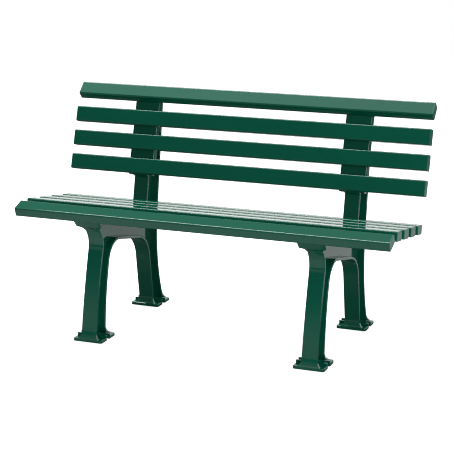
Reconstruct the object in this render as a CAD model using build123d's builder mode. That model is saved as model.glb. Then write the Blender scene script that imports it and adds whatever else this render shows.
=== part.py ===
from build123d import *
import os
from math import cos, radians, sin, tan

# A garden bench: nine hollow slats carried by two cast end frames of I-section.
# X runs along the slats, +Y points to the rear and +Z is up. The origin is on the
# ground, midway between the end frames and midway between front and back.

# ---------------------------------------------------------------- overall sizes (mm)
bench_length = 1200.0
frame_spacing = 722.0          # between the middle planes of the two end frames
foot_pitch = 424.5             # front foot to rear foot

# The two bends that place the seat and the back, seen from the side. Every side-view
# position is measured rearwards and upwards from the front lower edge of the front foot.
seat_bend_y = 50.0
seat_bend_z = 397.0
head_bend_y = 472.0
head_bend_z = 687.5
front_tilt = 20.0              # degrees, the front slat falls to the front
seat_slope = 8.5               # degrees, the rest of the seat falls to the rear
recline = 16.6                 # degrees, the back leans from the vertical
head_recline = 47.0            # degrees, the top slat leans from the vertical

# ---------------------------------------------------------------- slats
slat_width = 50.0
slat_thickness = 30.0
slat_corner = 5.0
slat_wall = 3.2
slat_rib = 2.4                 # two ribs split the hollow into three chambers
slat_pitch = 78.8
seat_slats = 5
back_slats = 4
front_slat_setback = 0.5       # rear edge of the front slat to the seat bend
second_slat_setback = 22.3     # seat bend to the front edge of the second slat
head_slat_overlap = 7.6        # how far the top slat reaches below the head bend
second_back_setback = 34.2     # head bend to the upper edge of the next slat down

# ---------------------------------------------------------------- end caps
cap_thickness = 3.0
cap_edge = 1.2
cap_plug = 14.0                # how far each plug reaches into its chamber
cap_plug_wall = 1.6
cap_clearance = 0.25

# ---------------------------------------------------------------- end frame
web = 8.0
flange_width = 50.0
flange_thickness = 8.0
flange_edge = 2.0
leg_depth = 65.0
ankle_y = 12.8                 # front face of the front leg, above its flare
ankle_widening = 3.5           # how much deeper the front leg is there
shin_sag = 3.5                 # how far the front leg's front face bows forward
calf_sag = 10.0                # the same for its rear face
knee_y = 68.5                  # where the front leg stops leaning back
knee_drop = 119.0              # below the seat bend
knee_lean = 18.0               # degrees from the vertical
knee_narrowing = 3.0           # how much less deep the front leg is at the knee
calf_slope = 74.0              # degrees, the leg's rear face where it runs into the arch
arch_slope = 11.9              # degrees, the arch falls to the rear
arch_drop = 91.0               # below the seat, over the middle of the arch
arch_middle_run = 180.0        # seat bend to the middle of the arch, along the seat
arch_front_radius = 66.0
arch_rear_radius = 90.0
rear_leg_lean = 9.0            # degrees from the vertical
heel_start = 11.4              # front face of the rear leg, behind the foot's front edge
heel_depth = 77.1              # rear leg, above its flare
waist_y = 479.5                # the most forward point of the rear flange
waist_z = 225.0
waist_radius = 725.0
upright_lean = 8.5             # degrees, the rear flange above the waist
upright_front_lean = 12.3      # degrees, the narrow front flange above the seat
upright_setback = 14.5         # narrow front flange behind the face of the bearer
tip_return = 6.0               # how far the tip's end face runs down to that flange
head_corner_radius = 30.0
bend_radius = 30.0

bearer_width = 86.0            # the wide channel that the slats are screwed to
bearer_depth = 25.0
bearer_plate = 8.0
bearer_wall = 6.0
bearer_edge = 5.0
nose_inset = 3.5               # nose of the seat bearer behind the front slat's edge
nose_rake = 22.5               # degrees, how far the nose is cut back
bearer_overhang = 10.0         # past the last seat slat
tip_overhang = 2.5             # below the lowest back slat
head_overhang = 3.0            # past the top slat

# ---------------------------------------------------------------- feet
foot_width = 98.0
foot_length = 98.5
foot_thickness = 9.0
foot_corner = 7.0
foot_edge = 2.5
foot_slot = 19.6               # open slot in each side of a foot, for a ground anchor
foot_slot_start = 37.3
foot_slot_end = 14.0           # how near a slot comes to the middle of the foot
foot_collar = 4.5              # wall of the raised collar round each slot
foot_collar_height = 8.0       # how far it stands above the plate
foot_flare = 25.0              # height of the flare from leg to foot, seen from the side
foot_side_flare = 18.5         # its height seen from the front
foot_side_reach = 16.5         # how far it reaches to each side there
bearer_flare = 17.0            # height of the flare from the front leg to the bearer
flare_lap = 1.5                # how far that flare runs up into the bearer

# ---------------------------------------------------------------- fasteners
screw_offset = 21.0            # from the middle plane of a frame
screw_diameter = 6.0
screw_bite = 9.0               # length of screw inside the slat
screw_head = 11.0
screw_head_height = 4.5
screw_recess = 5.0             # across flats
screw_recess_depth = 2.5
hole_clearance = 0.6
washer_diameter = 14.0
washer_thickness = 1.6
washer_clearance = 0.4

os.makedirs("parts", exist_ok=True)


def heading(degrees):
    """Unit vector in the side view, measured from the rearward axis upwards."""
    return Vector(cos(radians(degrees)), sin(radians(degrees)))


def crossing(point_a, along_a, point_b, along_b):
    """Where two lines of the side view meet."""
    gap = point_b - point_a
    turn = along_a.X * along_b.Y - along_a.Y * along_b.X
    return point_a + along_a * ((gap.X * along_b.Y - gap.Y * along_b.X) / turn)


def quarter_turn(vector):
    return Vector(-vector.Y, vector.X)


# ---------------------------------------------------------------- where the slats sit
front_angle = front_tilt
seat_angle = -seat_slope
back_angle = 90 - recline
head_angle = 90 - head_recline

seat_bend = Vector(seat_bend_y, seat_bend_z)
head_bend = Vector(head_bend_y, head_bend_z)
half_slat = slat_width / 2

front_slat = seat_bend - heading(front_angle) * (front_slat_setback + half_slat)
second_slat = seat_bend + heading(seat_angle) * (second_slat_setback + half_slat)
head_slat = head_bend + heading(head_angle) * (half_slat - head_slat_overlap)
second_back = head_bend - heading(back_angle) * (second_back_setback + half_slat)

# Each place is the middle of the face that a slat sits on, and the slat's angle.
seat_places = [(front_slat, front_angle)]
for step in range(seat_slats - 1):
    seat_places.append((second_slat + heading(seat_angle) * (step * slat_pitch), seat_angle))
back_places = [(head_slat, head_angle)]
for step in range(back_slats - 1):
    back_places.append((second_back - heading(back_angle) * (step * slat_pitch), back_angle))

# Ends of the two bearers, on the faces that carry the slats.
nose = front_slat - heading(front_angle) * (half_slat - nose_inset)
seat_end = seat_places[-1][0] + heading(seat_angle) * (half_slat + bearer_overhang)
tip = back_places[-1][0] - heading(back_angle) * (half_slat + tip_overhang)
head_end = head_slat + heading(head_angle) * (half_slat + head_overhang)


def below(place, angle, depth):
    """A point under a slat-bearing face, square to it."""
    return place - quarter_turn(heading(angle)) * depth


def under_bend(bend, angle_a, angle_b, depth):
    """The bend of a bent bearer, at a depth below its faces."""
    point_a = below(bend, angle_a, depth)
    point_b = below(bend, angle_b, depth)
    return crossing(point_a, heading(angle_a), point_b, heading(angle_b))


nose_heel = below(nose, front_angle, bearer_depth)
nose_heel = nose_heel + heading(front_angle) * (bearer_depth * tan(radians(nose_rake)))

# ---------------------------------------------------------------- side outline of a frame
knee = Vector(knee_y, seat_bend_z - knee_drop)
flare_top = foot_thickness + foot_flare
ankle_front = Vector(ankle_y, flare_top)
ankle_rear = Vector(ankle_y + leg_depth + ankle_widening, flare_top)
heel_front = Vector(foot_pitch + heel_start, flare_top)
heel_rear = Vector(foot_pitch + heel_start + heel_depth, flare_top)

arch_middle = seat_bend + heading(seat_angle) * arch_middle_run - Vector(0, arch_drop)
arch_along = heading(-arch_slope)
heel_along = heading(90 + rear_leg_lean)
arch_rear = crossing(heel_front, heel_along, arch_middle, arch_along)
knee_rear = knee + Vector(leg_depth - knee_narrowing, 0)
arch_front = crossing(knee_rear, heading(calf_slope), arch_middle, arch_along)

waist = Vector(waist_y, waist_z)
rear_along = heading(90 - upright_lean)
loin = waist + Vector(1 - cos(radians(upright_lean)), sin(radians(upright_lean))) * waist_radius
head_corner = crossing(loin, rear_along, head_end, quarter_turn(heading(head_angle)))

front_along = heading(90 - upright_front_lean)
tip_root = below(tip, back_angle, upright_setback) - heading(back_angle) * tip_return
seat_root = crossing(tip_root, front_along, seat_end, heading(seat_angle))


def mid_point(start, end, sag):
    """The middle of a shallow arc, sag away from its chord."""
    chord = end - start
    return (start + end) * 0.5 + quarter_turn(chord.normalized()) * sag


def round_corner(sketch, corner, radius):
    fillet(sketch.vertices().sort_by_distance(corner)[0], radius=radius)


with BuildSketch() as outline:
    with BuildLine():
        Line((0, 0), (0, foot_thickness))
        shin = ThreePointArc(ankle_front, mid_point(ankle_front, knee, shin_sag), knee)
        TangentArc(ankle_front, (0, foot_thickness), tangent=-(shin % 0))
        TangentArc(knee, nose_heel, tangent=shin % 1)
        Polyline(nose_heel, nose, seat_bend, seat_end, seat_root, tip_root)
        Polyline(tip_root, tip, head_bend, head_end, head_corner, loin)
        TangentArc(loin, waist, tangent=-rear_along)
        rear_shin = TangentArc(waist, heel_rear, tangent=(0, -1))
        TangentArc(heel_rear, (foot_pitch + foot_length, foot_thickness), tangent=rear_shin % 1)
        Line((foot_pitch + foot_length, foot_thickness), (foot_pitch + foot_length, 0))
        Line((foot_pitch + foot_length, 0), (foot_pitch, 0))
        Line((foot_pitch, 0), (foot_pitch, foot_thickness))
        TangentArc(heel_front, (foot_pitch, foot_thickness), tangent=-heel_along)
        Polyline(heel_front, arch_rear, arch_front)
        calf = ThreePointArc(arch_front, mid_point(arch_front, ankle_rear, -calf_sag), ankle_rear)
        TangentArc(ankle_rear, (foot_length, foot_thickness), tangent=calf % 1)
        Line((foot_length, foot_thickness), (foot_length, 0))
        Line((foot_length, 0), (0, 0))
    make_face()
    round_corner(outline, arch_rear, arch_rear_radius)
    round_corner(outline, arch_front, arch_front_radius)
    round_corner(outline, head_bend, bend_radius)
    round_corner(outline, seat_bend, bend_radius)
    round_corner(outline, head_corner, head_corner_radius)

# ---------------------------------------------------------------- the bench's own frame
slat_nose = front_slat - heading(front_angle) * (half_slat - slat_corner)
slat_nose = slat_nose + quarter_turn(heading(front_angle)) * (slat_thickness - slat_corner)
front_most = min(0, slat_nose.X - slat_corner)
rear_most = outline.sketch.bounding_box().max.X
middle_y = (front_most + rear_most) / 2


def side_plane(x):
    """The side view at one place along the bench."""
    return Plane(origin=(x, -middle_y, 0), x_dir=(0, 1, 0), z_dir=(1, 0, 0))


def seat_plane(x, place, angle, lift=0.0):
    """The face that a slat sits on, facing out of the frame."""
    spot = below(place, angle, -lift)
    out = quarter_turn(heading(angle))
    return Plane(origin=(x, spot.X - middle_y, spot.Y), x_dir=(1, 0, 0), z_dir=(0, out.X, out.Y))


def keep(piece, name):
    piece.part.label = name
    export_step(piece.part, f"parts/{name}.step")


# ---------------------------------------------------------------- end frames
def bearer_outline(start, bend, end, angles, near, far, inset=0.0, rake=0.0):
    """Closed outline of a bent bearer between two depths under its faces."""
    first, last = angles
    cut_back = tan(radians(rake))
    start_near = below(start, first, near) + heading(first) * (inset + near * cut_back)
    start_far = below(start, first, far) + heading(first) * (inset + far * cut_back)
    end_near = below(end, last, near) - heading(last) * inset
    end_far = below(end, last, far) - heading(last) * inset
    bend_near = under_bend(bend, first, last, near)
    bend_far = under_bend(bend, first, last, far)
    return [start_near, bend_near, end_near, end_far, bend_far, start_far]


def bearer(x, start, bend, end, angles, rake=0.0):
    """The wide channel under a run of slats, open on its far side."""
    with BuildPart() as channel:
        with BuildSketch(side_plane(x)) as section:
            block = bearer_outline(start, bend, end, angles, 0, bearer_depth, 0, rake)
            Polygon(*block, align=None)
            round_corner(section.sketch_local, bend, bend_radius)
        extrude(amount=bearer_width / 2, both=True)
        fillet(channel.faces().sort_by(Axis.X)[0].edges(), radius=bearer_edge)
        fillet(channel.faces().sort_by(Axis.X)[-1].edges(), radius=bearer_edge)
        depths = (bearer_plate, 2 * bearer_depth)
        pocket = bearer_outline(start, bend, end, angles, *depths, bearer_plate, rake)
        pocket_width = bearer_width / 2 - bearer_wall - web / 2
        for hand in (-1, 1):
            with BuildSketch(side_plane(x + hand * (web + pocket_width) / 2)):
                Polygon(*pocket, align=None)
            extrude(amount=pocket_width / 2, both=True, mode=Mode.SUBTRACT)
    return channel.part


def front_mask(x, low, high, narrow, wide, low_is_wide):
    """Front view of a flange that widens along a quarter round."""
    start, finish = (high, low) if low_is_wide else (low, high)
    heading_in = (0, -1) if low_is_wide else (0, 1)
    with BuildPart() as mask:
        with BuildSketch(Plane(origin=(x, 0, 0), x_dir=(1, 0, 0), z_dir=(0, -1, 0))):
            with BuildLine():
                right = TangentArc((narrow / 2, start), (wide / 2, finish), tangent=heading_in)
                left = TangentArc((-narrow / 2, start), (-wide / 2, finish), tangent=heading_in)
                Line(left @ 0, right @ 0)
                Line(left @ 1, right @ 1)
            make_face()
        extrude(amount=2 * foot_pitch, both=True)
    return mask.part


def flare(x, from_y, to_y, low, high, wide, low_is_wide):
    """The flanges between two heights, widening to a foot or a bearer."""
    with BuildPart() as piece:
        with BuildSketch(side_plane(x)):
            add(outline.sketch)
            offset(amount=-flange_thickness, mode=Mode.SUBTRACT)
            with Locations(((from_y + to_y) / 2, (low + high) / 2)):
                Rectangle(to_y - from_y, high - low, mode=Mode.INTERSECT)
        extrude(amount=wide / 2, both=True)
        add(front_mask(x, low, high, flange_width, wide, low_is_wide), mode=Mode.INTERSECT)
    return piece.part


def foot(x, start_y):
    """One foot plate with its two collars. The slots are cut through both later."""
    with BuildPart() as plate:
        with BuildSketch(Plane(origin=(x, start_y - middle_y, 0))):
            with Locations((0, foot_length / 2)):
                RectangleRounded(foot_width, foot_length, foot_corner)
        extrude(amount=foot_thickness)
        fillet(plate.faces().sort_by(Axis.Z)[-1].edges(), radius=foot_edge)
        with BuildSketch(Plane(origin=(x, start_y - middle_y, foot_thickness - foot_edge))):
            for hand in (-1, 1):
                collar_x = hand * (foot_slot_end - foot_collar + foot_width / 2)
                with Locations((collar_x, foot_slot_start + foot_slot / 2)):
                    SlotOverall(foot_width, foot_slot + 2 * foot_collar)
            with Locations((0, foot_length / 2)):
                Rectangle(foot_width, foot_length, mode=Mode.INTERSECT)
        extrude(amount=foot_edge + foot_collar_height)
    return plate.part


def end_frame(name, x):
    with BuildPart() as rim:
        with BuildSketch(side_plane(x)):
            add(outline.sketch)
            offset(amount=-flange_thickness, mode=Mode.SUBTRACT)
        extrude(amount=flange_width / 2, both=True)
        fillet(rim.faces().sort_by(Axis.X)[0].edges(), radius=flange_edge)
        fillet(rim.faces().sort_by(Axis.X)[-1].edges(), radius=flange_edge)
    with BuildPart() as frame:
        with BuildSketch(side_plane(x)):
            add(outline.sketch)
        extrude(amount=web / 2, both=True)
        add(rim.part)
        add(bearer(x, nose, seat_bend, seat_end, (front_angle, seat_angle), nose_rake))
        add(bearer(x, tip, head_bend, head_end, (back_angle, head_angle)))
        foot_low = foot_thickness - foot_edge
        foot_high = foot_thickness + foot_side_flare
        foot_wide = flange_width + 2 * foot_side_reach
        add(flare(x, 0, foot_pitch + foot_length, foot_low, foot_high, foot_wide, True))
        nose_low = nose_heel.Y - bearer_flare
        nose_high = nose_heel.Y + flare_lap
        add(flare(x, 0, seat_bend_y, nose_low, nose_high, bearer_width - 2 * bearer_edge, False))
        for start_y in (0, foot_pitch):
            add(foot(x, start_y))
        with BuildSketch(Plane(origin=(x, -middle_y, 0))):
            for start_y in (0, foot_pitch):
                for hand in (-1, 1):
                    slot_x = hand * (foot_slot_end + foot_width / 2)
                    with Locations((slot_x, start_y + foot_slot_start + foot_slot / 2)):
                        SlotOverall(foot_width, foot_slot)
        extrude(amount=foot_thickness + foot_collar_height, mode=Mode.SUBTRACT)
        for place, angle in seat_places + back_places:
            with BuildSketch(seat_plane(x, place, angle)):
                with Locations((-screw_offset, 0), (screw_offset, 0)):
                    Circle((screw_diameter + hole_clearance) / 2)
            extrude(amount=-bearer_plate, mode=Mode.SUBTRACT)
    keep(frame, name)


end_frame("end_frame_left", -frame_spacing / 2)
end_frame("end_frame_right", frame_spacing / 2)


# ---------------------------------------------------------------- slats and end caps
slat_length = bench_length - 2 * cap_thickness
hollow_width = slat_width - 2 * slat_wall
hollow_height = slat_thickness - 2 * slat_wall
chamber_width = (hollow_width - 2 * slat_rib) / 3
chamber_pitch = chamber_width + slat_rib
plug_width = chamber_width - 2 * cap_clearance
plug_height = hollow_height - 2 * cap_clearance
plug_hollow_width = plug_width - 2 * cap_plug_wall
plug_hollow_height = plug_height - 2 * cap_plug_wall


def end_plane(x, place, angle):
    """Cross-section of a slat: local X across its face, local Y out of the frame."""
    along = heading(angle)
    return Plane(origin=(x, place.X - middle_y, place.Y), x_dir=(0, along.X, along.Y), z_dir=(1, 0, 0))


def slat(name, place, angle):
    with BuildPart() as piece:
        with BuildSketch(end_plane(0, place, angle)):
            with Locations((0, slat_thickness / 2)):
                RectangleRounded(slat_width, slat_thickness, slat_corner)
                with GridLocations(chamber_pitch, 0, 3, 1):
                    Rectangle(chamber_width, hollow_height, mode=Mode.SUBTRACT)
        extrude(amount=slat_length / 2, both=True)
        for hand in (-1, 1):
            with BuildSketch(seat_plane(hand * frame_spacing / 2, place, angle)):
                with Locations((-screw_offset, 0), (screw_offset, 0)):
                    Circle(screw_diameter / 2)
            extrude(amount=slat_wall, mode=Mode.SUBTRACT)
    keep(piece, name)


def cap(name, place, angle, hand):
    with BuildPart() as piece:
        with BuildSketch(end_plane(hand * slat_length / 2, place, angle)):
            with Locations((0, slat_thickness / 2)):
                RectangleRounded(slat_width, slat_thickness, slat_corner)
        extrude(amount=hand * cap_thickness)
        fillet(piece.faces().sort_by(Axis.X)[-1 if hand > 0 else 0].edges(), radius=cap_edge)
        with BuildSketch(end_plane(hand * slat_length / 2, place, angle)):
            with Locations((0, slat_thickness / 2)):
                with GridLocations(chamber_pitch, 0, 3, 1):
                    Rectangle(plug_width, plug_height)
                    Rectangle(plug_hollow_width, plug_hollow_height, mode=Mode.SUBTRACT)
        extrude(amount=-hand * cap_plug)
    keep(piece, name)


def slats(kind, places):
    for number, (place, angle) in enumerate(places, start=1):
        slat(f"{kind}_slat_{number}", place, angle)
        cap(f"{kind}_cap_{number}_left", place, angle, -1)
        cap(f"{kind}_cap_{number}_right", place, angle, 1)


slats("seat", seat_places)
slats("back", back_places)


# ---------------------------------------------------------------- fasteners
def fasteners(kind, places, side_name, x):
    """The screws and washers of one bearer, each group in one node."""
    spots = ((-screw_offset, 0), (screw_offset, 0))
    with BuildPart() as washers:
        for place, angle in places:
            with BuildSketch(seat_plane(x, place, angle, -bearer_plate)):
                with Locations(*spots):
                    Circle(washer_diameter / 2)
                    Circle((screw_diameter + washer_clearance) / 2, mode=Mode.SUBTRACT)
            extrude(amount=-washer_thickness)
    keep(washers, f"{kind}_washers_{side_name}")
    with BuildPart() as screws:
        for place, angle in places:
            with BuildSketch(seat_plane(x, place, angle, screw_bite)):
                with Locations(*spots):
                    Circle(screw_diameter / 2)
            extrude(amount=-(screw_bite + bearer_plate + washer_thickness))
            head_plane = seat_plane(x, place, angle, -bearer_plate - washer_thickness)
            with BuildSketch(head_plane):
                with Locations(*spots):
                    Circle(screw_head / 2)
            extrude(amount=-screw_head_height)
            with BuildSketch(head_plane.offset(-screw_head_height)):
                with Locations(*spots):
                    RegularPolygon(screw_recess / 2, 6, major_radius=False)
            extrude(amount=screw_recess_depth, mode=Mode.SUBTRACT)
    keep(screws, f"{kind}_screws_{side_name}")


for side_name, x in (("left", -frame_spacing / 2), ("right", frame_spacing / 2)):
    fasteners("seat", seat_places, side_name, x)
    fasteners("back", back_places, side_name, x)
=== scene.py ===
from math import radians

import bmesh
import bpy
from mathutils import Euler, Matrix, Vector


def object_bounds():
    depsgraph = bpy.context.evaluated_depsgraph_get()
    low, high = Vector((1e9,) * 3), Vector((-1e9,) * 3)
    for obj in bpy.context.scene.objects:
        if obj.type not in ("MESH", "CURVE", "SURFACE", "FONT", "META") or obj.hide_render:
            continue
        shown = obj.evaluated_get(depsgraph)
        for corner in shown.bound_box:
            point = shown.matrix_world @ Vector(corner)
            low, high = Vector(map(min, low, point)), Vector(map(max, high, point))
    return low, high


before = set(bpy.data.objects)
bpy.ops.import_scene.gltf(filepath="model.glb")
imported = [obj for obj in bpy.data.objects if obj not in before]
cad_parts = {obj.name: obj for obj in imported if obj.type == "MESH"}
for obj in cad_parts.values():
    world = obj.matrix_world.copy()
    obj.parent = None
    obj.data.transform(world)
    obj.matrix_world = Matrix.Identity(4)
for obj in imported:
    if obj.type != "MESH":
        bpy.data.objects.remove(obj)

cadLow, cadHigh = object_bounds()
mm = 0.001
white = "#FFFFFF"
print("frame loaded:", len(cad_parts), "nodes")


def linear(hexColour):
    channels = [int(hexColour[i:i + 2], 16) / 255 for i in (1, 3, 5)]
    return [c / 12.92 if c <= 0.04045 else ((c + 0.055) / 1.055) ** 2.4 for c in channels] + [1.0]


def addNode(tree, kind, settings=None, inputs=None):
    # settings are the node's own values; inputs are numbers, colours or the sockets that feed it
    node = tree.nodes.new(kind)
    for name, value in (settings or {}).items():
        setattr(node, name, value)
    for name, value in (inputs or {}).items():
        if isinstance(value, bpy.types.NodeSocket):
            tree.links.new(value, node.inputs[name])
        else:
            node.inputs[name].default_value = value
    return node


def newMaterial(name):
    material = bpy.data.materials.new(name)
    material.use_nodes = True
    material.node_tree.nodes.clear()
    return material, material.node_tree


def speckle(tree, stepsMm, detail):
    # noise whose features are stepsMm long along X, Y and Z of the bench
    place = addNode(tree, "ShaderNodeTexCoord").outputs["Object"]
    scale = [1 / (step * mm) for step in stepsMm]
    scaled = addNode(tree, "ShaderNodeMapping", None, {"Vector": place, "Scale": scale}).outputs["Vector"]
    noise = addNode(tree, "ShaderNodeTexNoise", None, {"Vector": scaled, "Scale": 1.0, "Detail": detail})
    return noise.outputs["Fac"]


def makeShader(tree, finish, tone, wear, relief=None):
    # tone moves the colour between its two values, wear moves the roughness, relief raises the surface
    # 6, 7 and 2 are the colour sockets of the Mix node
    colour = addNode(tree, "ShaderNodeMix", {"data_type": "RGBA"}, {
        "Factor": tone, 6: linear(finish["colour"]), 7: linear(finish["shade"])})
    smooth, dull = finish["roughness"]
    roughness = addNode(tree, "ShaderNodeMapRange", None, {"Value": wear, "To Min": smooth, "To Max": dull})
    shader = addNode(tree, "ShaderNodeBsdfPrincipled", None, {
        "Base Color": colour.outputs[2], "Roughness": roughness.outputs["Result"]})
    if relief:
        bump = addNode(tree, "ShaderNodeBump", None, {
            "Height": relief, "Strength": finish["reliefStrength"], "Distance": finish["reliefMm"] * mm})
        tree.links.new(bump.outputs["Normal"], shader.inputs["Normal"])
    addNode(tree, "ShaderNodeOutputMaterial", None, {"Surface": shader.outputs["BSDF"]})
    return shader


# slats: rigid PVC, extruded and dyed through. It is smooth and glossy, with faint draw lines along it
slatFinish = {
    "colour": "#076650",
    "shade": "#066049",
    "ior": 1.53,
    "roughness": (0.05, 0.11),
    "cloud": {"stepsMm": (260, 70, 70), "detail": 2.0},          # slow change of tone along an extrusion
    "drawLines": {"stepsMm": (420, 1.6, 1.6), "detail": 3.0},    # coarser than real ones, so that they show
    "reliefMm": 0.015,
    "reliefStrength": 1.0,
}


def makeExtrudedPvc():
    material, tree = newMaterial("extruded_pvc_green")
    cloud = speckle(tree, **slatFinish["cloud"])
    lines = speckle(tree, **slatFinish["drawLines"])
    shader = makeShader(tree, slatFinish, tone=cloud, wear=lines, relief=lines)
    shader.inputs["IOR"].default_value = slatFinish["ior"]
    return material


# end caps: injection-moulded ABS in a green a little paler than the slats', with a fine eroded grain
capFinish = {
    "colour": "#14735C",
    "shade": "#106A54",
    "ior": 1.53,
    "roughness": (0.22, 0.34),
    "grain": {"stepsMm": (0.9, 0.9, 0.9), "detail": 3.0},        # coarser than real grain, so that it shows
    "reliefMm": 0.04,
    "reliefStrength": 0.6,
}


def makeMouldedAbs():
    material, tree = newMaterial("moulded_abs_green")
    grain = speckle(tree, **capFinish["grain"])
    shader = makeShader(tree, capFinish, tone=grain, wear=grain, relief=grain)
    shader.inputs["IOR"].default_value = capFinish["ior"]
    return material


# end frames: cast aluminium under gloss enamel, which lies in the low waves called orange peel
frameFinish = {
    "colour": "#076650",
    "shade": "#055E48",
    "ior": 1.53,
    "roughness": (0.04, 0.09),
    "cloud": {"stepsMm": (120, 120, 120), "detail": 2.0},        # uneven thickness of the enamel
    "orangePeel": {"stepsMm": (7.0, 7.0, 7.0), "detail": 1.0},
    "reliefMm": 0.03,
    "reliefStrength": 1.0,
}


def makeGlossEnamel():
    material, tree = newMaterial("gloss_enamel_on_castings")
    cloud = speckle(tree, **frameFinish["cloud"])
    peel = speckle(tree, **frameFinish["orangePeel"])
    shader = makeShader(tree, frameFinish, tone=cloud, wear=cloud, relief=peel)
    shader.inputs["IOR"].default_value = frameFinish["ior"]
    return material


# screws and washers: stainless steel, turned and tumbled, a soft grey metal with faint scuffs
steelFinish = {
    "colour": "#B9BAB8",
    "shade": "#9C9E9E",
    "roughness": (0.24, 0.4),
    "scuffs": {"stepsMm": (1.5, 1.5, 1.5), "detail": 4.0},       # coarser than real scuffs, so that they show
}


def makeStainless():
    material, tree = newMaterial("tumbled_stainless")
    scuffs = speckle(tree, **steelFinish["scuffs"])
    shader = makeShader(tree, steelFinish, tone=scuffs, wear=scuffs)
    shader.inputs["Metallic"].default_value = 1.0
    return material


# by a word in the piece's name
finishes = {
    "frame": makeGlossEnamel(),
    "slat": makeExtrudedPvc(),
    "cap": makeMouldedAbs(),
    "screws": makeStainless(),
}
finishes["washers"] = finishes["screws"]

for name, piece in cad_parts.items():
    finish = next(made for word, made in finishes.items() if word in name.split("_"))
    for slot in piece.material_slots:
        slot.material = finish
print("materials given to the CAD pieces")


# floor: matt white seamless paper. It is lit to pure white where it is seen. What it throws back
# onto the bench is held to a patch in front and one behind on the right, so that edges stay dark
floorPaper = {
    "colour": "#F4F4F2",
    "half": 7.0,          # of the sheet's side, in metres
    "belowMm": 0.2,       # under the soles, so that the two faces don't fight
    "glow": 0.7,
    "dark": 0.12,
    "patches": {
        "front": {"middle": (-0.15, -0.9), "radius": (1.5, 1.1), "tone": 0.5},
        "behind": {"middle": (0.9, 1.5), "radius": (1.9, 1.5), "tone": 0.6},
    },
    "core": 0.45,         # share of a patch's radius that has its full tone
}


def patch(tree, place, middle, radius, tone):
    # a soft oval of tone on the floor, 0 outside its radius
    across, along = 1 / radius[0], 1 / radius[1]
    flat = addNode(tree, "ShaderNodeMapping", None, {
        "Vector": place, "Location": (-middle[0] * across, -middle[1] * along, 0),
        "Scale": (across, along, 0)}).outputs["Vector"]
    reach = addNode(tree, "ShaderNodeVectorMath", {"operation": "LENGTH"}, {0: flat}).outputs["Value"]
    return addNode(tree, "ShaderNodeMapRange", {"interpolation_type": "SMOOTHSTEP"}, {
        "Value": reach, "From Min": floorPaper["core"], "From Max": 1.0,
        "To Min": tone, "To Max": 0.0}).outputs["Result"]


def makeSeamlessPaper():
    material, tree = newMaterial("white_seamless_paper")
    lit = addNode(tree, "ShaderNodeBsdfPrincipled", None, {
        "Base Color": linear(floorPaper["colour"]), "Roughness": 1.0, "Specular IOR Level": 0.0,
        "Emission Color": linear(white), "Emission Strength": floorPaper["glow"]})
    place = addNode(tree, "ShaderNodeTexCoord").outputs["Object"]
    tone = floorPaper["dark"]
    for spot in floorPaper["patches"].values():
        lighter = {0: tone, 1: patch(tree, place, **spot)}
        tone = addNode(tree, "ShaderNodeMath", {"operation": "ADD"}, lighter).outputs[0]
    bounce = addNode(tree, "ShaderNodeBsdfDiffuse", None, {"Color": tone})
    seen = addNode(tree, "ShaderNodeLightPath").outputs["Is Camera Ray"]
    paper = addNode(tree, "ShaderNodeMixShader", None, {0: seen, 1: bounce.outputs[0], 2: lit.outputs[0]})
    addNode(tree, "ShaderNodeOutputMaterial", None, {"Surface": paper.outputs[0]})
    return material


def layFloor():
    build = bmesh.new()
    bmesh.ops.create_grid(build, x_segments=1, y_segments=1, size=floorPaper["half"])
    bmesh.ops.translate(build, verts=build.verts, vec=(0, 0, cadLow.z - floorPaper["belowMm"] * mm))
    mesh = bpy.data.meshes.new("floor")
    build.to_mesh(mesh)
    build.free()
    mesh.materials.append(makeSeamlessPaper())
    floor = bpy.data.objects.new("floor", mesh)
    bpy.context.scene.collection.objects.link(floor)


layFloor()
print("floor laid")


# light: a soft ceiling, a pale backdrop behind and a dim room, with a long soft box overhead
# and a weaker one in front on the right, which fills the shadows between the slats
studio = {
    "room": 0.06,
    "bands": {       # from and to say how far a direction points up (Z) or to the rear (Y)
        "ceiling": {"axis": "Z", "from": 0.74, "to": 0.94, "light": 0.85},
        "upperWalls": {"axis": "Z", "from": 0.36, "to": 0.62, "light": 0.2},
        "horizon": {"axis": "Z", "from": 0.20, "to": 0.03, "light": 0.34},
        "backdrop": {"axis": "Y", "from": 0.58, "to": 0.92, "light": 1.1},
    },
    "softBoxes": {
        "overhead": {"power": 52, "size": (1.9, 0.7), "place": (-0.9, 0.6, 2.8), "aim": (-0.9, 0.5, 0.0)},
        "fill": {"power": 40, "size": (2.0, 1.5), "place": (2.7, -2.5, 1.2), "aim": (0.0, 0.1, 0.5)},
    },
}


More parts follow.
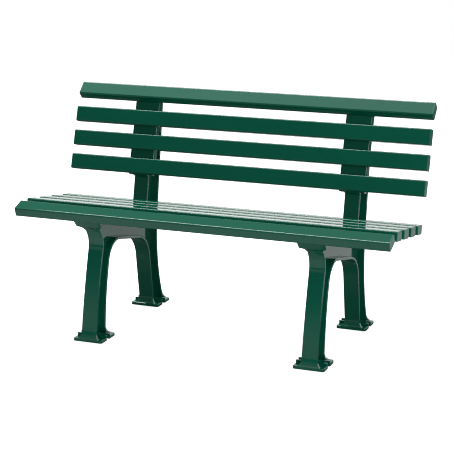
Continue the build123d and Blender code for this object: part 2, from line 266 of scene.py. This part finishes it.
def makeStudio():
    world = bpy.data.worlds.new("studio")
    bpy.context.scene.world = world
    world.use_nodes = True
    tree = world.node_tree
    tree.nodes.clear()
    direction = addNode(tree, "ShaderNodeTexCoord").outputs["Generated"]
    split = addNode(tree, "ShaderNodeSeparateXYZ", None, {"Vector": direction})
    strength = studio["room"]
    for band in studio["bands"].values():
        glow = addNode(tree, "ShaderNodeMapRange", {"interpolation_type": "SMOOTHSTEP"}, {
            "Value": split.outputs[band["axis"]], "From Min": band["from"], "From Max": band["to"],
            "To Min": 0.0, "To Max": band["light"]}).outputs["Result"]
        strength = addNode(tree, "ShaderNodeMath", {"operation": "ADD"}, {0: strength, 1: glow}).outputs[0]
    light = addNode(tree, "ShaderNodeBackground", None, {"Color": linear(white), "Strength": strength})
    plain = addNode(tree, "ShaderNodeBackground", None, {"Color": linear(white), "Strength": 1.0})
    seen = addNode(tree, "ShaderNodeLightPath").outputs["Is Camera Ray"]
    mix = addNode(tree, "ShaderNodeMixShader", None, {0: seen, 1: light.outputs[0], 2: plain.outputs[0]})
    addNode(tree, "ShaderNodeOutputWorld", None, {"Surface": mix.outputs[0]})


def makeSoftBox(name, power, size, place, aim):
    data = bpy.data.lights.new(name, "AREA")
    data.shape = "RECTANGLE"
    data.size, data.size_y = size
    data.energy = power
    lamp = bpy.data.objects.new(name, data)
    lamp.location = place
    lamp.rotation_euler = (Vector(aim) - Vector(place)).to_track_quat("-Z", "Y").to_euler()
    bpy.context.scene.collection.objects.link(lamp)


makeStudio()
for name, box in studio["softBoxes"].items():
    makeSoftBox(name, **box)
print("studio lit")


# camera: a long lens, a little above the bench and to its right
view = {
    "place": (1.6930, -4.2645, 1.4573),
    "turn": 21.403,
    "down": 13.541,
    "roll": 0.09,
    "sensor": 36.0,
    "lens": 119.824,
    "shift": (-0.0143, -0.0081),
    "filterWidth": 1.1,       # a little under the default, for crisp edges
}


def makeCamera():
    data = bpy.data.cameras.new("camera")
    data.sensor_width = view["sensor"]
    data.lens = view["lens"]
    data.shift_x, data.shift_y = view["shift"]
    camera = bpy.data.objects.new("camera", data)
    aim = Euler((radians(90 - view["down"]), 0, radians(view["turn"]))).to_matrix()
    aim = aim @ Matrix.Rotation(radians(view["roll"]), 3, "Z")
    camera.matrix_world = Matrix.Translation(view["place"]) @ aim.to_4x4()
    bpy.context.scene.collection.objects.link(camera)
    bpy.context.scene.camera = camera


makeCamera()
bpy.context.scene.view_settings.view_transform = "Standard"
bpy.context.scene.cycles.filter_width = view["filterWidth"]
print("camera placed")
